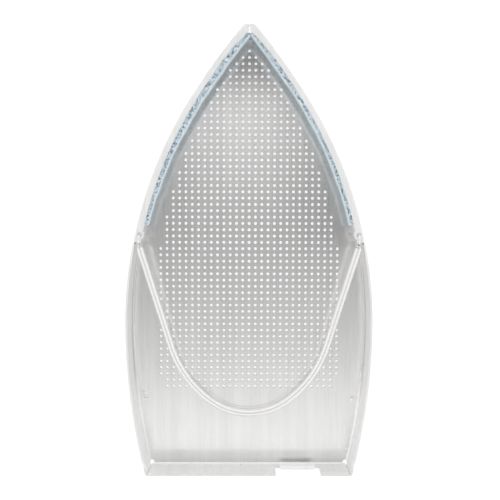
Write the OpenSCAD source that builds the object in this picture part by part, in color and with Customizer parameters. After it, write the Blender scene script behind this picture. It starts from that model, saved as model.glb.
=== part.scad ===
// Slip-on sole shoe for a steam iron. A folded and perforated aluminium pan carries a
// felt strip under the lip on each side of its nose, a non-stick sheet bonded to its
// underside, and a coil spring that swings up over the heel of the iron.
// The nose points along +Y, and the origin is the middle of the underside.

/* [Pan] */
// Length over the rim, from the blunt nose to the heel wall
pan_len = 219.4; // [218:0.2:221]
// Width over the rim at the widest place
pan_w = 120.4; // [119.6:0.2:121.2]
// Height of the rim over the table
rim_z = 15.5; // [14:0.5:18]
// How far the widest place lies behind the middle of the length
wide_back = 35; // [34:1:36]
// Radius of each side from the widest place towards the nose
front_r = 205; // [205:5:205]
// Radius of each side from the widest place back to the heel
rear_r = 300; // [280:5:320]
// Radius of the nearly straight stretch beside the nose
nose_r = 330; // [325:5:335]
// Thickness of the aluminium sheet
sheet = 1; // [0.8:0.1:1.2]
// Outside radius of the fold between floor and wall
fold_r = 2; // [1.6:0.1:2.2]

/* [Lip] */
// Outside radius of the fold between wall and lip
lip_fold_r = 1.4; // [1.3:0.1:1.6]
// Width of the lip at the nose, from the outside of the wall
lip_nose_w = 2.5; // [2:0.1:2.6]
// Width of the lip at its rear end
lip_rear_w = 3.5; // [3:0.1:3.8]
// Place of the lip's rear end, in front of the middle
lip_end_y = 5.2; // [4:0.2:7]
// Width of the open seam at the nose
seam_w = 0.6; // [0.6:0.1:1.4]

/* [Perforation] */
// Spacing of the holes, along and across
pitch = 3.2; // [3.1:0.05:3.25]
// Diameter of each hole
hole_d = 1.5; // [1.2:0.1:1.8]
// Place of the first hole, in front of the middle
first_hole_y = 100.8; // [100:0.1:101]

/* [Heel wall] */
// Width of the slit at each heel corner
slit_w = 0.6; // [0.6:0.1:1.2]
// Place of the seam across the heel wall, from the middle
seam_x = -4; // [-10:0.5:4]
// Left end of the low stretch with the folded tab
notch_x0 = 13.4; // [12:0.2:16]
// Right end of the low stretch
notch_x1 = 35.6; // [32:0.2:38]
// Height of the folded edge of the tab over the table
tab_z = 8.5; // [7:0.5:10]

/* [Felt strips] */
// Width of each strip
strip_w = 4.4; // [3:0.1:4.5]
// Height of each strip
strip_h = 5; // [3:0.5:6]
// Place of the strips' rear end, in front of the middle
strip_end_y = 13.3; // [12:0.1:20]

/* [Sole sheet] */
// Thickness of the non-stick sheet
sole_t = 0.8; // [0.5:0.1:1.2]
// How far its edge lies inside the wall's outer face
sole_inset = 2.2; // [2:0.1:3]

/* [Spring] */
// Outside diameter of the coil
coil_d = 4; // [3:0.1:4.2]
// Diameter of the spring wire
wire_d = 0.8; // [0.6:0.1:0.9]
// Length of the loop, from the hooks' axis to the middle of the coil at its back
loop_len = 88.9; // [87:0.1:90]
// Radius at the back of the loop
loop_r = 31.4; // [30.5:0.1:32]
// Radius of the loop's flanks
flank_r = 55.3; // [54:0.1:57]
// Distance of each hook from the middle
hook_x = 53.2; // [52.9:0.1:53.4]
// Radius of each hook, at the middle of its wire
hook_r = 2.3; // [2.2:0.1:2.4]
// Gap between the resting loop and the floor
rest_gap = 0.3; // [0.3:0.1:1]

/* [Hidden] */

half_w = pan_w / 2;
nose_y = pan_len / 2;
heel_y = -pan_len / 2;
wall_h = rim_z - sole_t;
fold_z = wall_h - lip_fold_r;
floor_z = sole_t + sheet;
eps = 0.01;

// Direction across the side where the front arc meets the nose arc. Its parts are whole
// ratios, so that both arcs end on exactly the same plane.
nose_dir = [0.8432, 0.5376];
side_dir = [1, 0];

// Centres of the three arcs of the right side, tangent to each other in turn
rear_c = [half_w - rear_r, -wide_back];
front_c = [half_w - front_r, -wide_back];
nose_c = front_c + (front_r - nose_r) * nose_dir;
nose_join = front_c + front_r * nose_dir;

// The hook holes, the spring's axis, and the notch behind each lip
hole_y = lip_end_y + 3.6;
hook_hole_d = 2.2;
ear_r = 2.4;
axis_y = hole_y - hook_r;
axis_z = rim_z - sheet / 2;
notch_w = 1.4;
notch_h = 3;

// Rows of the perforation, from the nose back: how many rows have 0, 1, 2 and more holes
// on each side of the middle one. The two last rows are one hole shorter each side.
rows_of = [1, 1, 1, 2, 1, 2, 2, 2, 2, 2, 3, 3, 4, 5, 21];
short_rows = 2;
widest = len(rows_of) - 1;
function rows_up_to(n) = n < 0 ? 0 : rows_of[n] + rows_up_to(n - 1);
function side_holes(row, n = 0) =
    n > widest ? widest - 1 : row < rows_up_to(n) ? n : side_holes(row, n + 1);
row_count = rows_up_to(widest) + short_rows;

// Half the width at place y, on a line that runs d inside the wall's outer face
function arc_x(c, r, y) = c.x + sqrt(r * r - pow(y - c.y, 2));
function half_at(y, d) =
    y > nose_join.y ? arc_x(nose_c, nose_r - d, y)
    : y > front_c.y ? arc_x(front_c, front_r - d, y)
    : arc_x(rear_c, rear_r - d, y);

// Where that line reaches the middle, at the nose
function tip_y(d) = nose_c.y + sqrt(pow(nose_r - d, 2) - pow(nose_c.x, 2));

// Points of that line, from y0 forward to y1
function side_line(y0, y1, d, steps = 16) =
    [for (i = [0:steps]) let (y = y0 + (y1 - y0) * i / steps) [half_at(y, d), y]];

// A quarter of a bent sheet in the corner that dir points to
module quarter_fold(r, dir) {
    intersection() {
        difference() {
            circle(r, $fn = 48);
            circle(r - sheet, $fn = 48);
        }
        translate([min(dir.x, 0) * r, min(dir.y, 0) * r]) square(r);
    }
}

// Sections of the wall, outer face at x = 0 and inward along +x: the foot with most of the
// height, the lip folded inward over it, and the plain top of a wall without a lip
module foot_section() {
    tongue = 1;
    translate([fold_r, 0]) square([tongue, sheet]);
    translate([fold_r, fold_r]) quarter_fold(fold_r, [-1, -1]);
    translate([0, fold_r]) square([sheet, fold_z - fold_r]);
}

module lip_section() {
    translate([lip_fold_r, fold_z]) quarter_fold(lip_fold_r, [-1, 1]);
    translate([lip_fold_r, wall_h - sheet]) square([lip_rear_w + 1, sheet]);
}

module top_section() {
    translate([0, fold_z]) square([sheet, lip_fold_r]);
}

// A frame at c whose x axis points along dir
module frame(c, dir) {
    multmatrix([[dir.x, -dir.y, 0, c.x], [dir.y, dir.x, 0, c.y], [0, 0, 1, 0], [0, 0, 0, 1]])
        children();
}

// Sweeps a section along an arc: it starts across dir and turns towards the nose, or
// towards the heel when turn is negative
module along_arc(c, r, dir, turn) {
    frame(c, dir) mirror([0, turn < 0 ? 1 : 0, 0]) rotate_extrude(angle = abs(turn), $fn = 720)
        translate([r, 0]) mirror([1, 0]) children();
}

// The same between two directions, back from dir to end_dir. The sweep runs past end_dir
// and is cut off there, so both ends lie exactly on their planes.
module arc_between(c, r, dir, end_dir) {
    turn = acos(dir * end_dir);
    reach = 2 * r;
    intersection() {
        along_arc(c, r, dir, -turn - 2) children();
        frame(c, end_dir) translate([-reach, 0, -50]) cube([2 * reach, reach, 100]);
    }
}

// Walls, folds and lip of the right side
module right_wall() {
    nose_turn = 12;
    rear_turn = 17;
    join_turn = asin(nose_dir.y);
    lip_turn = asin((lip_end_y - notch_w / 2 - front_c.y) / front_r);
    intersection() {
        union() {
            along_arc(nose_c, nose_r, nose_dir, nose_turn) foot_section();
            arc_between(front_c, front_r, nose_dir, side_dir) foot_section();
            along_arc(rear_c, rear_r, side_dir, -rear_turn) foot_section();
            along_arc(nose_c, nose_r, nose_dir, nose_turn) lip_section();
            along_arc(front_c, front_r, nose_dir, lip_turn - join_turn + 0.1) lip_section();
            along_arc(front_c, front_r, side_dir, lip_turn - 0.1) top_section();
            along_arc(rear_c, rear_r, side_dir, -rear_turn) top_section();
        }
        translate([0, heel_y + fold_r, -1]) cube([pan_w, pan_len - fold_r, rim_z + 2]);
    }
}

// The floor inside the folds, reaching half a millimetre over them
module floor_plate() {
    d = fold_r + 0.5;
    right = side_line(heel_y + d, tip_y(d) - 1, d);
    left = [for (i = [len(right) - 1:-1:0]) [-right[i].x, right[i].y]];
    linear_extrude(sheet) polygon(concat(right, [[0, tip_y(d)]], left));
}

// The square grid of holes, as flat discs
module hole_grid() {
    for (row = [0:row_count - 1], col = [-side_holes(row):side_holes(row)])
        translate([col * pitch, first_hole_y - row * pitch]) circle(d = hole_d, $fn = 20);
}

// Everything inside the inner edge of the right lip, apart from the ear for the hook
module lip_window() {
    back = lip_end_y - 3;
    front = tip_y(lip_nose_w);
    function lip_at(y) = lip_nose_w + (lip_rear_w - lip_nose_w) * (front - y) / (front - back);
    edge = [for (p = side_line(back, front - 1, 0)) [half_at(p.y, lip_at(p.y)), p.y]];
    difference() {
        polygon(concat([[-eps, back]], edge, [[-eps, front]]));
        translate([hook_x, hole_y]) circle(ear_r, $fn = 32);
    }
}

// The low stretch of the heel wall, its edge folded inward as a sloping tab
module tab_section() {
    r = 1.2;
    flap = 1.6;
    slope = [0.96, 0.28];
    top = tab_z - sole_t;
    translate([0, fold_r]) square([sheet, top - r - fold_r]);
    translate([r, top - r]) {
        intersection() {
            difference() {
                circle(r, $fn = 48);
                circle(r - sheet, $fn = 48);
            }
            polygon([[0, 0], [-3, 0], [-3, 3], [3, 3], 3 * slope]);
        }
        multmatrix([[slope.x, -slope.y, 0, 0], [slope.y, slope.x, 0, 0]])
            translate([r - sheet, -flap]) square([sheet, flap]);
    }
}

module heel_wall() {
    reach = heel_half;
    translate([-reach, heel_y, 0]) rotate([90, 0, 90]) linear_extrude(2 * reach) {
        foot_section();
        top_section();
    }
}

// Cuts a box out of the heel wall, from x0 to x1 and from z0 to over the rim
module heel_cut(x0, x1, z0) {
    translate([x0, heel_y - 1, z0]) cube([x1 - x0, sheet + 2, rim_z]);
}

// Inside of the side wall at the heel, and half the length of the heel wall
heel_inner = half_at(heel_y + fold_r, sheet);
heel_half = heel_inner - slit_w;

module pan_blank() {
    floor_plate();
    right_wall();
    mirror([1, 0, 0]) right_wall();
    heel_wall();
}

// The pan before its floor is perforated: walls, lips, ears, seams and the tab in the heel
module folded_pan() {
    relief = 0.6;
    relief_r = 1;
    tab_gap = 2.4;
    low = tab_z - sole_t - 3;
    union() {
        difference() {
            pan_blank();
            translate([0, 0, wall_h - sheet - eps]) linear_extrude(sheet + 1) {
                lip_window();
                mirror([1, 0]) lip_window();
            }
            translate([-seam_w / 2, tip_y(fold_r + 0.4), -1]) cube([seam_w, 5, rim_z + 2]);
            for (s = [-1, 1]) {
                translate([s * hook_x, hole_y, wall_h - 3])
                    cylinder(h = 5, d = hook_hole_d, $fn = 24);
                translate([s * (hook_x + 1) - 5, lip_end_y - notch_w, wall_h - notch_h])
                    cube([10, notch_w, notch_h + 1]);
                translate([s * (heel_inner - sheet), heel_y + fold_r + 0.1, -1])
                    cylinder(h = fold_r + 2, r = relief_r, $fn = 24);
            }
            heel_cut(seam_x - relief / 2, seam_x + relief / 2, fold_r);
            heel_cut(notch_x0, notch_x1, low);
        }
        translate([notch_x0 + tab_gap, heel_y, 0]) rotate([90, 0, 90])
            linear_extrude(notch_x1 - notch_x0 - 2 * tab_gap) tab_section();
    }
}

module pan() {
    color("lightgray") translate([0, 0, sole_t]) difference() {
        folded_pan();
        translate([0, 0, -1]) linear_extrude(sheet + 2) hole_grid();
    }
}

// The right half of a flat shape whose edge runs d inside the wall's outer face. It goes a
// little past the middle, so that it joins its mirror image.
module half_plan(d, front_y) {
    join_y = round(1000 * (nose_join.y - d * nose_dir.y)) / 1000;
    mid_y = -wide_back;
    back_y = heel_y + d;
    overlap = 0.5;
    module band(c, r, y0, y1) {
        intersection() {
            translate(c) circle(r - d, $fn = 720);
            translate([-overlap, y0]) square([pan_w, y1 - y0]);
        }
    }
    band(nose_c, nose_r, join_y, front_y);
    band(front_c, front_r, mid_y, join_y);
    band(rear_c, rear_r, back_y, mid_y);
}

module sole_sheet() {
    color("whitesmoke") difference() {
        linear_extrude(sole_t) union() {
            half_plan(sole_inset, nose_y - 2.5);
            mirror([1, 0]) half_plan(sole_inset, nose_y - 2.5);
        }
        translate([0, 0, -1]) linear_extrude(sole_t + 2) hole_grid();
    }
}

// One strip: a soft bar with rounded edges, up against the wall and under the lip
module felt_strip() {
    blunt_y = nose_y - 3.2;
    color("lightskyblue") intersection() {
        translate([0, 0, rim_z - sheet - strip_h]) {
            along_arc(nose_c, nose_r, nose_dir, 12) strip_section();
            along_arc(front_c, front_r, nose_dir, -25) strip_section();
        }
        translate([0, strip_end_y, 0]) cube([pan_w, blunt_y - strip_end_y, rim_z]);
    }
}

module strip_section() {
    round = 0.6;
    translate([sheet, 0]) {
        translate([round, 0]) square([strip_w - 2 * round, strip_h]);
        translate([0, round]) square([strip_w, strip_h - 2 * round]);
        for (x = [round, strip_w - round], y = [round, strip_h - round])
            translate([x, y]) circle(round, $fn = 24);
    }
}

module felt_strip_right() { felt_strip(); }
module felt_strip_left() { mirror([1, 0, 0]) felt_strip(); }

// The spring's loop lies in its own plane: the hooks' axis is y = 0, and the loop runs
// back along -y. Its arcs meet across loop_dir and leg_dir, also whole ratios.
loop_dir = [0.6, -0.8];
leg_dir = [0.96, -0.28];
neck_len = 2;
loop_c = [0, loop_r - loop_len];
flank_c = loop_c + (loop_r - flank_r) * loop_dir;
leg_len = (-hook_r - neck_len - flank_c.y - flank_r * leg_dir.y) / leg_dir.x;
loop_tilt = asin((axis_z - floor_z - coil_d / 2 - rest_gap) / loop_len);

module coil_section() { circle(d = coil_d, $fn = 24); }

// One leg of the close-wound coil as a rod, with its bare wire end wound into a ring
module spring_leg() {
    root = 1.2;
    arc_between(flank_c, flank_r, leg_dir, loop_dir) coil_section();
    frame(flank_c, leg_dir) translate([flank_r, 0, 0]) rotate([-90, 0, 0])
        cylinder(h = leg_len, d = coil_d, $fn = 24);
    translate([hook_x, -hook_r - neck_len - root, 0]) rotate([-90, 0, 0])
        cylinder(h = neck_len + root, d1 = coil_d - 1, d2 = wire_d, $fn = 24);
    translate([hook_x, 0, 0]) rotate([0, 90, 0])
        rotate_extrude($fn = 48) translate([hook_r, 0]) circle(d = wire_d, $fn = 16);
}

module heel_spring() {
    color("silver") translate([0, axis_y, axis_z]) rotate([loop_tilt, 0, 0]) {
        arc_between(loop_c, loop_r, loop_dir, [-loop_dir.x, loop_dir.y]) coil_section();
        spring_leg();
        mirror([1, 0, 0]) spring_leg();
    }
}

sole_sheet();
pan();
felt_strip_right();
felt_strip_left();
heel_spring();
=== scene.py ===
import math
import random

import bpy
from mathutils import Matrix, Vector


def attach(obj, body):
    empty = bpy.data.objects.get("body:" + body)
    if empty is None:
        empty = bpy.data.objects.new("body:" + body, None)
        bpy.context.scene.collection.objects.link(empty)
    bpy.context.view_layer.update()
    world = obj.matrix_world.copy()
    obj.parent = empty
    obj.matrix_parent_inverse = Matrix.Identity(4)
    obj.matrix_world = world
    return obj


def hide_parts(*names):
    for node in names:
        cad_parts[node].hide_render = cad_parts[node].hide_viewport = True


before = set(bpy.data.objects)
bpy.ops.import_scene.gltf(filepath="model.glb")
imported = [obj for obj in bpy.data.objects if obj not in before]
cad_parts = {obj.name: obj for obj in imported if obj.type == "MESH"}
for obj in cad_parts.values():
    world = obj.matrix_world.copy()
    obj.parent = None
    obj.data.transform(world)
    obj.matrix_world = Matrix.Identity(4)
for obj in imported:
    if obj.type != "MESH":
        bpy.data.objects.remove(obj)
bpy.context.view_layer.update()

MM = 0.001

# Sizes of the solids, in millimetres, as the model has them
HALF_W = 60.2
WIDE_Y = -35.0
FRONT_R = 205.0
REAR_R = 300.0
NOSE_R = 330.0
NOSE_DIR = Vector((0.8432, 0.5376))
SHEET = 1.0
RIM_Z = 15.5
FLOOR_Z = 1.8
HEEL_Y = -109.7
LIP_END_Y = 5.2
STRIP_W = 4.4
STRIP_H = 5.0
STRIP_END_Y = 13.3
STRIP_BLUNT_Y = 106.5
LEAN = 0.5
COIL_D = 4.0
WIRE_D = 0.8
LOOP_LEN = 88.9
LOOP_R = 31.4
FLANK_R = 55.3
LOOP_DIR = Vector((0.6, -0.8))
LEG_DIR = Vector((0.96, -0.28))
HOOK_X = 53.2
HOOK_R = 2.3
NECK_LEN = 2.0
AXIS = Vector((0.0, 6.5, 15.0))
REST_GAP = 0.3

# The camera that took the photograph, fitted to the rows of holes
PHOTO_SIZE = 500
FOCAL_PX = 620
CAM_AT = Vector((-0.607, 12.679, 315.664)) * MM
CAM_TURN = (-2.1405, -0.1924, 0.1311)

FRONT_C = Vector((HALF_W - FRONT_R, WIDE_Y))
NOSE_C = FRONT_C + (FRONT_R - NOSE_R) * NOSE_DIR
JOIN_TURN = math.atan2(NOSE_DIR.y, NOSE_DIR.x)


# Shader building

class Shader:
    """A material's node tree, with short calls for the nodes that all materials here use."""

    def __init__(self, name):
        self.material = bpy.data.materials.new(name)
        self.material.use_nodes = True
        self.nodes = self.material.node_tree.nodes
        self.links = self.material.node_tree.links
        self.surface = self.nodes["Principled BSDF"]
        self.place = self.add("ShaderNodeTexCoord").outputs["Object"]
        self.normal = self.nodes["Texture Coordinate"].outputs["Normal"]

    def add(self, kind, **settings):
        node = self.nodes.new(kind)
        for key, value in settings.items():
            setattr(node, key, value)
        return node

    def join(self, value, socket):
        if isinstance(value, bpy.types.NodeSocket):
            self.links.new(value, socket)
        else:
            socket.default_value = value

    def math(self, operation, a, b=0.0, c=0.0, clamp=False):
        node = self.add("ShaderNodeMath", operation=operation, use_clamp=clamp)
        for value, socket in zip((a, b, c), node.inputs):
            self.join(value, socket)
        return node.outputs[0]

    def parts(self, vector):
        node = self.add("ShaderNodeSeparateXYZ")
        self.links.new(vector, node.inputs[0])
        return node.outputs

    def vector(self, x, y, z):
        node = self.add("ShaderNodeCombineXYZ")
        for value, socket in zip((x, y, z), node.inputs):
            self.join(value, socket)
        return node.outputs[0]

    def scaled(self, vector, scale):
        node = self.add("ShaderNodeVectorMath", operation="MULTIPLY")
        self.links.new(vector, node.inputs[0])
        node.inputs[1].default_value = scale
        return node.outputs[0]

    def noise(self, vector, scale=1.0, detail=2.0, roughness=0.5):
        node = self.add("ShaderNodeTexNoise")
        self.links.new(vector, node.inputs["Vector"])
        node.inputs["Scale"].default_value = scale
        node.inputs["Detail"].default_value = detail
        node.inputs["Roughness"].default_value = roughness
        return node.outputs["Fac"]

    def span(self, value, low, high, to_low=0.0, to_high=1.0, smooth=False):
        node = self.add("ShaderNodeMapRange", clamp=True)
        if smooth:
            node.interpolation_type = "SMOOTHSTEP"
        self.join(value, node.inputs["Value"])
        for key, number in (("From Min", low), ("From Max", high), ("To Min", to_low), ("To Max", to_high)):
            node.inputs[key].default_value = number
        return node.outputs["Result"]

    def mix(self, factor, a, b):
        node = self.add("ShaderNodeMix", data_type="RGBA")
        self.join(factor, node.inputs["Factor"])
        for value, socket in ((a, node.inputs[6]), (b, node.inputs[7])):
            self.join((*value, 1.0) if isinstance(value, tuple) and len(value) == 3 else value, socket)
        return node.outputs[2]

    def spot(self, at, radii):
        """1 in the middle of an ellipsoid, falling to 0 at its edge; both in millimetres."""
        away = self.add("ShaderNodeVectorMath", operation="SUBTRACT")
        self.links.new(self.place, away.inputs[0])
        away.inputs[1].default_value = Vector(at) * MM
        length = self.add("ShaderNodeVectorMath", operation="LENGTH")
        self.links.new(self.scaled(away.outputs[0], [1 / (r * MM) for r in radii]), length.inputs[0])
        return self.span(length.outputs["Value"], 1.0, 0.0, smooth=True)

    def bump(self, height, distance, strength=1.0, below=None):
        node = self.add("ShaderNodeBump")
        self.links.new(height, node.inputs["Height"])
        node.inputs["Distance"].default_value = distance
        node.inputs["Strength"].default_value = strength
        if below is not None:
            self.links.new(below, node.inputs["Normal"])
        return node.outputs["Normal"]

    def set(self, **values):
        for key, value in values.items():
            self.join(value, self.surface.inputs[key.replace("_", " ").title().replace("Ior", "IOR")])


def aluminium():
    """Brushed sheet, its grain along the shoe on floor and sides and upright on the heel wall. Its colour also holds
    painted light: the walls painted lighter than the floor, painted shade at the foot of the side walls and on the
    floor before the heel's bend, and a painted highlight along that bend.
    """
    s = Shader("aluminium")
    x, y, z = s.parts(s.place)
    nx, ny, nz = [s.math("ABSOLUTE", n) for n in s.parts(s.normal)]
    side = s.span(nx, 0.6, 0.8)
    heel = s.span(ny, 0.7, 0.9)
    across = s.parts(s.mix(side, s.place, s.vector(z, z, z)))[0]
    along = s.parts(s.mix(heel, s.vector(y, y, y), s.vector(z, z, z)))[0]
    fine = s.noise(s.vector(s.math("MULTIPLY", across, 3200), s.math("MULTIPLY", along, 60), 0), detail=3)
    broad = s.noise(s.vector(s.math("MULTIPLY", across, 260), s.math("MULTIPLY", along, 7), 4), detail=2)
    cloudy = s.noise(s.place, scale=38, detail=3)
    rolled = s.noise(s.vector(s.math("MULTIPLY", x, 18), 0, s.math("MULTIPLY", z, 1300)), detail=2)
    streaks = s.math("ADD", s.span(fine, 0.3, 0.7, -0.04, 0.04), s.span(broad, 0.3, 0.7, -0.03, 0.03))
    streaks = s.math("ADD", streaks, s.span(cloudy, 0.35, 0.65, -0.012, 0.012))
    streaks = s.math("ADD", streaks, s.math("MULTIPLY", heel, s.span(rolled, 0.35, 0.65, -0.05, 0.03)))
    # Painted shade: the base colour of the fold at the foot of the side walls is darkened to 0.74, from y = -60 mm
    # forwards.
    foot = s.math("MULTIPLY", s.span(nz, 0.97, 0.9), s.span(z, 4.6 * MM, 3.4 * MM))
    foot = s.math("MULTIPLY", foot, s.math("MULTIPLY", s.span(y, -80 * MM, -60 * MM), s.span(nx, 0.15, 0.3)))
    tab = s.math("MULTIPLY", s.span(y, -102 * MM, -104 * MM), s.span(z, 3.4 * MM, 4.4 * MM))
    upright = s.math("MAXIMUM", s.span(nz, 0.95, 0.6), tab)
    # The fold at the foot of the heel wall, which is given a painted highlight below.
    bend = s.math("MULTIPLY", s.span(y, -100 * MM, -104 * MM), s.span(z, 3.0 * MM, 2.6 * MM))
    bend = s.math("MULTIPLY", bend, s.math("MULTIPLY", s.span(nz, 0.99, 0.95), s.span(nz, 0.15, 0.4)))
    # Painted light: upright walls and the heel's tab are painted lighter (0.98) than the floor (0.90), though they
    # are the same sheet.
    tone = s.math("ADD", streaks, s.span(upright, 0, 1, 0.90, 0.98))
    # Painted shade: a band of the floor just before the heel's bend is darkened to 0.85.
    painted_heel_shade = s.math("MULTIPLY", s.span(y, -105.0 * MM, -106.8 * MM), s.span(nz, 0.985, 0.995))
    tone = s.math("MULTIPLY", tone, s.math("MULTIPLY", s.span(foot, 0, 1, 1.0, 0.74), s.span(painted_heel_shade, 0, 1, 1.0, 0.85)))
    # Painted highlight: the heel's bend is painted near white (0.98).
    tone = s.math("MAXIMUM", tone, s.math("MULTIPLY", bend, 0.98))
    colour = s.vector(tone, s.math("MULTIPLY", tone, 0.997), s.math("MULTIPLY", tone, 0.99))
    lip = s.math("MULTIPLY", s.span(z, 14.2 * MM, 14.6 * MM), s.span(y, 4.6 * MM, 5.2 * MM))
    lip = s.math("MAXIMUM", lip, s.span(z, 15.2 * MM, 15.4 * MM))
    rough = s.math("ADD", s.span(fine, 0.25, 0.75, 0.15, 0.22), s.math("MULTIPLY", lip, 0.45))
    rough = s.math("ADD", rough, s.math("MULTIPLY", s.math("SUBTRACT", upright, bend, clamp=True), 0.27))
    rough = s.math("ADD", rough, s.span(y, -96 * MM, -104 * MM, 0.0, 0.15))
    height = s.bump(fine, 0.00002, 0.4)
    wall = s.math("MULTIPLY", s.math("SUBTRACT", upright, bend, clamp=True), s.span(z, 1.85 * MM, 2.0 * MM))
    satin = s.math("MULTIPLY", wall, s.span(y, -90 * MM, -60 * MM, 0.75, 0.40))
    metallic = s.math("SUBTRACT", 0.9, s.math("MAXIMUM", satin, s.math("MULTIPLY", lip, 0.55)))
    s.set(base_color=colour, metallic=metallic, roughness=rough, normal=dents(s, x, y, height))
    s.surface.inputs["Anisotropic"].default_value = 0.5
    s.join(s.vector(1.0, 0.0, 0.0), s.surface.inputs["Tangent"])
    return s.material


def dents(s, x, y, below):
    """Small marks of use: creases at the foot of the left side, a dent at the right and a
    wavy bend along the heel."""
    creases = None
    for i in range(3):
        mark = s.spot((-53.5 + 0.5 * i, -71.0 - 1.6 * i, FLOOR_Z), (2.4, 0.5, 3.0))
        creases = mark if creases is None else s.math("ADD", creases, mark)
    knock = s.spot((53.0, -75.0, FLOOR_Z + 1.0), (1.2, 1.4, 3.0))
    ripple = s.noise(s.vector(s.math("MULTIPLY", x, 70), 0, 0), detail=2)
    near_heel = s.span(y, (HEEL_Y + 9) * MM, (HEEL_Y + 2.5) * MM, smooth=True)
    marked = s.bump(s.math("ADD", creases, knock), 0.0004, 1.0, below)
    return s.bump(s.math("MULTIPLY", ripple, near_heel), 0.0006, 1.0, marked)


def felt():
    """Pressed felt of blue and white fibres with dark specks. A painted highlight makes it paler along its inner top
    edge, and painted light makes its underside paler.
    """
    s = Shader("felt")
    cells = s.add("ShaderNodeTexVoronoi")
    s.join(s.place, cells.inputs["Vector"])
    cells.inputs["Scale"].default_value = 2500
    shade = s.parts(cells.outputs["Color"])[0]
    patches = s.noise(s.place, scale=900, detail=3, roughness=0.6)
    # Painted highlight: the inner top edge is painted paler and with fewer dark specks.
    edge = s.add("ShaderNodeAttribute", attribute_name="inner_edge_highlight").outputs["Fac"]
    mixed = s.math("ADD", s.math("MULTIPLY", shade, 0.7), s.math("MULTIPLY", patches, 0.3))
    dark = s.math("MULTIPLY", s.span(mixed, 0.42, 0.30), s.span(edge, 0.2, 0.9, 1.0, 0.1))
    light = s.span(mixed, 0.58, 0.74)
    body = s.mix(light, (0.56, 0.70, 0.78), (0.84, 0.91, 0.95))
    body = s.mix(dark, body, (0.07, 0.11, 0.16))
    # Painted highlight along the inner top edge.
    body = s.mix(s.math("MULTIPLY", edge, 0.6), body, (0.82, 0.90, 0.94))
    # Painted light: the downward-facing underside is painted paler, standing in for light that falls on it.
    under = s.span(s.parts(s.normal)[2], -0.2, -0.8)
    body = s.mix(s.math("MULTIPLY", under, 0.5), body, (0.90, 0.93, 0.95))
    fibres = s.noise(s.place, scale=2600, detail=4, roughness=0.7)
    s.set(base_color=body, roughness=0.95, normal=s.bump(fibres, 0.0002, 0.6))
    s.surface.inputs["Sheen Weight"].default_value = 0.35
    return s.material


def spring_steel():
    """Bright drawn wire. Each turn is lit mostly as part of the whole coil's round surface."""
    s = Shader("spring_steel")
    drawn = s.noise(s.place, scale=1500, detail=2)
    tone = s.span(drawn, 0.3, 0.7, 0.90, 0.97)
    coil = s.add("ShaderNodeAttribute", attribute_name="coil_side").outputs["Vector"]
    blend = s.add("ShaderNodeMix", data_type="VECTOR")
    blend.inputs["Factor"].default_value = 0.6
    s.join(s.normal, blend.inputs[4])
    s.join(coil, blend.inputs[5])
    turned = s.add("ShaderNodeVectorTransform", vector_type="NORMAL", convert_from="OBJECT", convert_to="WORLD")
    s.join(blend.outputs[1], turned.inputs[0])
    s.set(base_color=s.vector(tone, s.math("MULTIPLY", tone, 0.995), s.math("MULTIPLY", tone, 0.98)),
          metallic=1.0, roughness=s.span(drawn, 0.3, 0.7, 0.10, 0.18), normal=turned.outputs[0])
    return s.material


def sole_film():
    s = Shader("sole_film")
    cloudy = s.noise(s.place, scale=60, detail=4)
    tone = s.span(cloudy, 0.3, 0.7, 0.84, 0.90)
    rub = s.noise(s.scaled(s.place, (900, 70, 900)), detail=3)
    s.set(base_color=s.vector(tone, s.math("MULTIPLY", tone, 0.99), s.math("MULTIPLY", tone, 0.955)),
          roughness=s.span(rub, 0.3, 0.7, 0.28, 0.42), normal=s.bump(rub, 0.00002, 0.3))
    return s.material


# Mesh building

def mesh_piece(name, points, faces, material, smooth=True):
    mesh = bpy.data.meshes.new(name)
    mesh.from_pydata([tuple(Vector(p) * MM) for p in points], [], faces)
    mesh.validate()
    if smooth:
        mesh.shade_smooth()
    mesh.materials.append(material)
    piece = bpy.data.objects.new(name, mesh)
    bpy.context.collection.objects.link(piece)
    return piece


def tube(line, radius, sides):
    """Points and faces of a round tube along a line, its ends closed."""
    points, faces = [], []
    last = None
    for i, p in enumerate(line):
        along = (line[min(i + 1, len(line) - 1)] - line[max(i - 1, 0)]).normalized()
        side = (last - along * last.dot(along)) if last is not None else along.orthogonal()
        side.normalize()
        last = side
        up = along.cross(side)
        for k in range(sides):
            a = 2 * math.pi * k / sides
            points.append(p + radius * (math.cos(a) * side + math.sin(a) * up))
    for i in range(len(line) - 1):
        for k in range(sides):
            j = (k + 1) % sides
            faces.append((i * sides + k, i * sides + j, (i + 1) * sides + j, (i + 1) * sides + k))
    faces.append(tuple(range(sides))[::-1])
    faces.append(tuple(range((len(line) - 1) * sides, len(line) * sides)))
    return points, faces


# The felt strips

def side_point(turn, inset, z):
    """A point on the right side of the nose, inset from the wall's outer face."""
    if turn < JOIN_TURN:
        centre, radius = FRONT_C, FRONT_R
    else:
        centre, radius = NOSE_C, NOSE_R
        turn = JOIN_TURN + (turn - JOIN_TURN) * FRONT_R / NOSE_R
    return Vector((centre.x + (radius - inset) * math.cos(turn), centre.y + (radius - inset) * math.sin(turn), z))


def turn_at(y, inset):
    """The turn at which that line passes y."""
    low, high = 0.0, 1.3
    for _ in range(40):
        middle = (low + high) / 2
        if side_point(middle, inset, 0).y < y:
            low = middle
        else:
            high = middle
    return low


def side_x(y, inset):
    """Half the width at y, on the line that runs inset inside the wall's outer face."""
    return side_point(turn_at(y, inset), inset, 0).x


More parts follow.
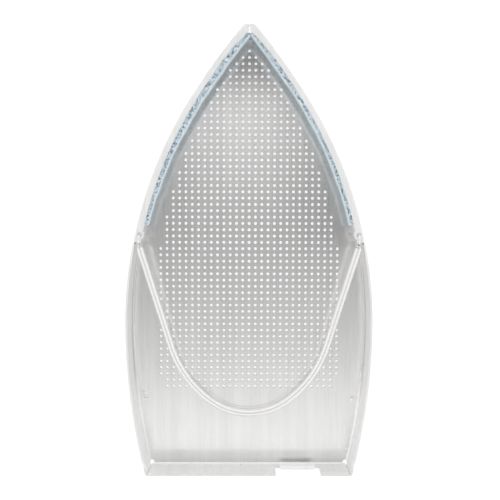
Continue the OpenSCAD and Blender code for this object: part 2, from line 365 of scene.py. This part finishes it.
def lip_corner(side, material):
    """The lip widens towards the nose, so that both lips meet along a short seam."""
    back, front, meet = 92.0, 108.9, 106.8
    half_seam = 0.3
    lip_w = [2.5 + (109.1 - y) / 107.0 for y in (back, front)]
    count = 12
    plan = []
    for i in range(count + 1):
        y = back + (front - back) * i / count
        inset = lip_w[0] + (lip_w[1] - lip_w[0]) * i / count
        plan.append((max(side_x(y, inset) + 0.02, half_seam), y))
    plan.append((half_seam, front + 0.3))
    inner_x = plan[0][0]
    for i in range(count):
        t = i / count
        bow = 0.35 * math.sin(math.pi * t)
        plan.append((half_seam + (inner_x - half_seam) * t + bow, meet + (back - meet) * t + bow * 0.7))
    n = len(plan)
    points = [(side * x, y, z) for z in (RIM_Z - SHEET, RIM_Z) for x, y in plan]
    faces = [tuple(range(n)), tuple(range(n, 2 * n))[::-1]]
    faces += [(i, (i + 1) % n, n + (i + 1) % n, n + i) for i in range(n)]
    faces = [f[::-1] for f in faces] if side > 0 else faces
    piece = mesh_piece("lip_corner_" + ("right" if side > 0 else "left"), points, faces, material, smooth=False)
    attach(piece, "shoe")
    return piece


def rear_x(y, inset):
    """The same on the rear arc of the side."""
    return HALF_W - REAR_R + math.sqrt((REAR_R - inset) ** 2 - (y - WIDE_Y) ** 2)


def upright_piece(name, plan, low, material):
    """A small piece of the sheet's walls: its outline in plan, run up to the rim."""
    n = len(plan)
    points = [(x, y, z) for z in (low, RIM_Z) for x, y in plan]
    faces = [tuple(range(n))[::-1], tuple(range(n, 2 * n))]
    faces += [(i, (i + 1) % n, n + (i + 1) % n, n + i) for i in range(n)]
    piece = mesh_piece(name, points, faces, material, smooth=False)
    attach(piece, "shoe")
    return piece


def heel_corner(side, material):
    """The side wall run on to the corner, behind the end of the heel wall."""
    start, end = HEEL_Y + 2.05, HEEL_Y + 0.1
    plan = [(rear_x(start, SHEET), start), (rear_x(start, 0), start), (rear_x(end + 0.5, 0), end + 0.5),
            (rear_x(end, 0) - 0.35, end), (rear_x(end, SHEET), end)]
    plan = [(side * x, y) for x, y in (plan[::-1] if side > 0 else plan)]
    upright_piece("heel_corner_" + ("right" if side > 0 else "left"), plan, FLOOR_Z + 1.0, material)


def felt_strip(side, material):
    """A soft bar with rounded and slightly uneven edges, under the lip and against the wall."""
    rng = random.Random(7 if side > 0 else 11)
    stations, per_edge = 150, 5
    bottom, top = RIM_Z - SHEET - STRIP_H, RIM_Z - SHEET
    soft = 0.55
    outline = []
    corners = [(SHEET, bottom), (SHEET + STRIP_W, bottom), (SHEET + STRIP_W, top), (SHEET, top)]
    for i, (cx, cz) in enumerate(corners):
        inward = (1 if i in (0, 3) else -1, 1 if i in (0, 1) else -1)
        for k in range(per_edge):
            a = math.pi * (1 + i / 2) + math.pi / 2 * k / (per_edge - 1)
            outline.append((cx + soft * (inward[0] + math.cos(a)), cz + soft * (inward[1] + math.sin(a))))
        if i == 2:
            outline.append((cx - soft - 0.15, cz))
    n = len(outline)
    waves = [rng.uniform(0, 6.28) for _ in range(4)]
    points, faces, edge = [], [], []
    for i in range(stations + 1):
        t = i / stations
        wave = 0.10 * math.sin(23 * t + waves[0]) + 0.06 * math.sin(61 * t + waves[1])
        for inset, z in outline:
            inner = max(0.0, (inset - SHEET) / STRIP_W)
            shift = -0.12 * inner + wave * inner
            low_turn = turn_at(STRIP_END_Y, inset)
            turn = low_turn + (tip_turn(inset) - low_turn) * t
            p = side_point(turn, inset + shift, z)
            lean = LEAN * min(1.0, max(0.0, (p.y - 20) / 50)) * inner
            points.append((max(p.x, 0.02) * side + lean, p.y, p.z))
            # Marks the inner top edge, where the felt's material paints a highlight.
            edge.append(1.0 if inner > 0.9 and z > top - 0.6 else 0.0)
    for i in range(stations):
        for k in range(n):
            j = (k + 1) % n
            quad = (i * n + k, i * n + j, (i + 1) * n + j, (i + 1) * n + k)
            faces.append(quad if side > 0 else quad[::-1])
    first, last = tuple(range(n)), tuple(range(stations * n, (stations + 1) * n))
    faces.append(first[::-1] if side > 0 else first)
    faces.append(last if side > 0 else last[::-1])
    word = "right" if side > 0 else "left"
    piece = mesh_piece("felt_" + word, points, faces, material)
    layer = piece.data.attributes.new("inner_edge_highlight", "FLOAT", "POINT")
    layer.data.foreach_set("value", edge)
    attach(piece, "shoe")
    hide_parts("felt_strip_" + word)
    return piece


def tip_turn(inset):
    """The turn at which the line reaches the strip's blunt end or the middle of the nose."""
    low, high = 0.0, 1.3
    for _ in range(40):
        middle = (low + high) / 2
        p = side_point(middle, inset, 0)
        if p.y < STRIP_BLUNT_Y and p.x > 0.05:
            low = middle
        else:
            high = middle
    return low


# The spring

def spring_path(step=0.2):
    """The middle of the coil from the right hook to the left, in the plane of the loop."""
    loop_c = Vector((0, LOOP_R - LOOP_LEN))
    flank_c = loop_c + (LOOP_R - FLANK_R) * LOOP_DIR
    leg_start = flank_c + FLANK_R * LEG_DIR
    leg_len = (-HOOK_R - NECK_LEN - leg_start.y) / LEG_DIR.x
    along = Vector((-LEG_DIR.y, LEG_DIR.x))
    right = [leg_start + along * leg_len * (1 - i / 60) for i in range(60)]
    for centre, radius, start, end, count in (
        (flank_c, FLANK_R, LEG_DIR, LOOP_DIR, 80),
        (loop_c, LOOP_R, LOOP_DIR, Vector((0, -1)), 60),
    ):
        a0, a1 = math.atan2(start.y, start.x), math.atan2(end.y, end.x)
        for i in range(count):
            a = a0 + (a1 - a0) * i / count
            right.append(centre + radius * Vector((math.cos(a), math.sin(a))))
    line = right + [Vector((0, -LOOP_LEN))] + [Vector((-p.x, p.y)) for p in reversed(right)]
    even, gone = [line[0]], 0.0
    for a, b in zip(line, line[1:]):
        length = (b - a).length
        while gone + length >= step * len(even):
            even.append(a + (b - a) * (step * len(even) - gone) / length)
        gone += length
    return even


def turned_up(p):
    """A direction in the loop's plane, turned to the way the loop rests in the shoe."""
    drop = AXIS.z - FLOOR_Z - COIL_D / 2 - REST_GAP
    return Matrix.Rotation(math.asin(drop / LOOP_LEN), 3, "X") @ Vector(p)


def in_loop_plane(p):
    """A point of the loop's plane, put at its place in the shoe."""
    return turned_up(p) + AXIS


def wound_coil(material):
    """The close-wound wire, with each end run out to its hook."""
    path = spring_path()
    around = (COIL_D - WIRE_D) / 2
    per_turn = 12
    pitch = WIRE_D * 1.01
    line, sides_of_coil = [], []
    length = 0.2 * (len(path) - 1)
    count = int(length / pitch * per_turn)
    for i in range(count + 1):
        at = i / count * (len(path) - 1)
        k = min(int(at), len(path) - 2)
        p = path[k].lerp(path[k + 1], at - k)
        along = (path[min(k + 2, len(path) - 1)] - path[max(k - 1, 0)]).normalized()
        across = Vector((-along.y, along.x))
        a = 2 * math.pi * i / per_turn
        q = p + across * around * math.cos(a)
        line.append(Vector((q.x, q.y, around * math.sin(a))))
        sides_of_coil.append(turned_up(Vector((across.x * math.cos(a), across.y * math.cos(a), math.sin(a)))))
    (right, right_sides), (left, left_sides) = hook(1, line[0]), hook(-1, line[-1])
    line = right[::-1] + line + left
    sides_of_coil = right_sides[::-1] + sides_of_coil + left_sides
    points, faces = tube([in_loop_plane(p) for p in line], WIRE_D / 2, 8)
    piece = mesh_piece("coil", points, faces, material)
    outward = [d for d in sides_of_coil for _ in range(8)]
    layer = piece.data.attributes.new("coil_side", "FLOAT_VECTOR", "POINT")
    layer.data.foreach_set("vector", [v for d in outward for v in d])
    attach(piece, "spring")
    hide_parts("heel_spring")
    return piece


def hook(side, start):
    """Wire from the coil's end to the ring through the lip's hole, in the loop's plane, and
    for each of its points the way out from the coil's middle."""
    centre = Vector((HOOK_X * side, -HOOK_R, 0))
    line, sides_of_coil = [], []
    turns, per_turn = 2, 12
    a0 = math.atan2(start.z, (start.x - HOOK_X * side) * side)
    around = (COIL_D - WIRE_D) / 2
    for i in range(1, int(turns * per_turn) + 1):
        t = i / (turns * per_turn)
        r = around + (0.5 - around) * t
        a = a0 + 2 * math.pi * turns * t
        y = start.y + (centre.y - 0.35 - start.y) * t
        line.append(Vector((centre.x + side * r * math.cos(a), y, r * math.sin(a))))
        sides_of_coil.append(turned_up((side * math.cos(a), 0, math.sin(a))))
    for i in range(26):
        a = math.pi - math.radians(12) - i / 25 * math.radians(318)
        line.append(Vector((centre.x, HOOK_R * math.cos(a), HOOK_R * math.sin(a))))
        sides_of_coil.append(Vector((0, 0, 0)))
    return line, sides_of_coil


# Floor, light and camera

def seen_directly(nodes, links):
    """1 for rays from the camera and for what shiny metal mirrors, 0 for the light itself."""
    path = nodes.new("ShaderNodeLightPath")
    seen = nodes.new("ShaderNodeMath")
    seen.operation = "MAXIMUM"
    links.new(path.outputs["Is Camera Ray"], seen.inputs[0])
    links.new(path.outputs["Is Glossy Ray"], seen.inputs[1])
    return seen.outputs[0]


def table_top():
    s = Shader("white_table")
    s.set(base_color=(0.2, 0.2, 0.2, 1.0), roughness=0.9)
    s.surface.inputs["Emission Color"].default_value = (1, 1, 1, 1)
    glow = s.math("MULTIPLY", seen_directly(s.nodes, s.links), 0.91)
    s.join(glow, s.surface.inputs["Emission Strength"])
    size = 3000
    corners = [(-size, -size, 0), (size, -size, 0), (size, size, 0), (-size, size, 0)]
    mesh_piece("table_top", corners, [(0, 1, 2, 3)], s.material, smooth=False)


# Strength of the tent's light straight overhead, from behind the heel (-) to over the nose (+)
OVERHEAD = ((-0.40, 0.96), (-0.31, 0.95), (-0.28, 0.91), (-0.25, 0.79), (-0.20, 0.63), (-0.15, 0.56), (-0.10, 0.49),
            (-0.04, 0.45), (0.03, 0.49), (0.09, 0.68), (0.14, 0.86), (0.185, 1.05), (0.215, 1.05), (0.236, 0.05),
            (0.26, 0.0), (0.28, 0.0), (0.33, 1.0))


def studio():
    """A white tent with dimmer panels overhead, darkest where the camera hangs over the nose."""
    world = bpy.data.worlds.new("tent")
    bpy.context.scene.world = world
    world.use_nodes = True
    nodes, links = world.node_tree.nodes, world.node_tree.links

    def smooth(value, low, high, to_low, to_high):
        node = nodes.new("ShaderNodeMapRange")
        node.interpolation_type = "SMOOTHSTEP"
        links.new(value, node.inputs["Value"])
        for key, number in (("From Min", low), ("From Max", high), ("To Min", to_low), ("To Max", to_high)):
            node.inputs[key].default_value = number
        return node.outputs["Result"]

    def math_node(operation, a, b=0.0):
        node = nodes.new("ShaderNodeMath")
        node.operation = operation
        for value, socket in zip((a, b), node.inputs):
            if isinstance(value, bpy.types.NodeSocket):
                links.new(value, socket)
            else:
                socket.default_value = value
        return node.outputs[0]

    ways = nodes.new("ShaderNodeTexCoord")
    parts = nodes.new("ShaderNodeSeparateXYZ")
    links.new(ways.outputs["Generated"], parts.inputs[0])
    x, y, z = parts.outputs
    ramp = nodes.new("ShaderNodeValToRGB")
    ramp.color_ramp.interpolation = "EASE"
    span = OVERHEAD[-1][0] - OVERHEAD[0][0]
    stops = ramp.color_ramp.elements
    while len(stops) < len(OVERHEAD):
        stops.new(0.5)
    for stop, (way, strength) in zip(stops, OVERHEAD):
        stop.position = (way - OVERHEAD[0][0]) / span
        stop.color = (strength, strength, strength, 1.0)
    links.new(smooth_line(nodes, links, y, OVERHEAD[0][0], OVERHEAD[-1][0]), ramp.inputs["Fac"])
    slant = math_node("MULTIPLY", y, 0.2)
    right = math_node("ADD", slant, x)
    left = math_node("SUBTRACT", slant, x)
    right = math_node("MULTIPLY", smooth(right, 0.085, 0.115, 0.0, 0.85), smooth(right, 0.17, 0.21, 1.0, 0.3))
    left = math_node("MULTIPLY", smooth(left, 0.09, 0.125, 0.0, 0.65), smooth(left, 0.17, 0.21, 1.0, 0.3))
    ahead = smooth(y, -0.08, 0.02, 0.0, 1.0)
    dimmed = math_node("SUBTRACT", 1.0, math_node("MULTIPLY", math_node("ADD", right, left), ahead))
    panel = math_node("MULTIPLY", ramp.outputs["Color"], dimmed)
    low = smooth(z, 0.93, 0.78, 0.0, 1.0)
    mix = nodes.new("ShaderNodeMix")
    mix.data_type = "FLOAT"
    links.new(low, mix.inputs[0])
    links.new(panel, mix.inputs[2])
    mix.inputs[3].default_value = 1.05
    links.new(mix.outputs[0], nodes["Background"].inputs["Strength"])
    nodes["Background"].inputs["Color"].default_value = (1.0, 1.0, 1.0, 1.0)


def smooth_line(nodes, links, value, low, high):
    """The value's place between low and high, from 0 to 1."""
    node = nodes.new("ShaderNodeMapRange")
    links.new(value, node.inputs["Value"])
    node.inputs["From Min"].default_value = low
    node.inputs["From Max"].default_value = high
    return node.outputs["Result"]


def photo_camera():
    data = bpy.data.cameras.new("camera")
    data.lens = data.sensor_width * FOCAL_PX / PHOTO_SIZE
    data.clip_start = 0.01
    camera = bpy.data.objects.new("camera", data)
    camera.location = CAM_AT
    camera.rotation_euler = [math.radians(a) for a in CAM_TURN]
    bpy.context.collection.objects.link(camera)
    bpy.context.scene.camera = camera


photo_camera()
studio()
table_top()

sheet_material = aluminium()
for node, material in (("pan", sheet_material), ("sole_sheet", sole_film())):
    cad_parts[node].data.materials.clear()
    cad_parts[node].data.materials.append(material)
for side in (1, -1):
    lip_corner(side, sheet_material)
    heel_corner(side, sheet_material)
upright_piece("heel_seam", [(-4.3, HEEL_Y + 0.1), (-3.7, HEEL_Y + 0.1), (-3.7, HEEL_Y + 0.6), (-4.3, HEEL_Y + 0.6)],
              FLOOR_Z + 1.0, sheet_material)
felt_material = felt()
felt_strip(1, felt_material)
felt_strip(-1, felt_material)
wound_coil(spring_steel())

bpy.context.scene.view_settings.view_transform = "Standard"
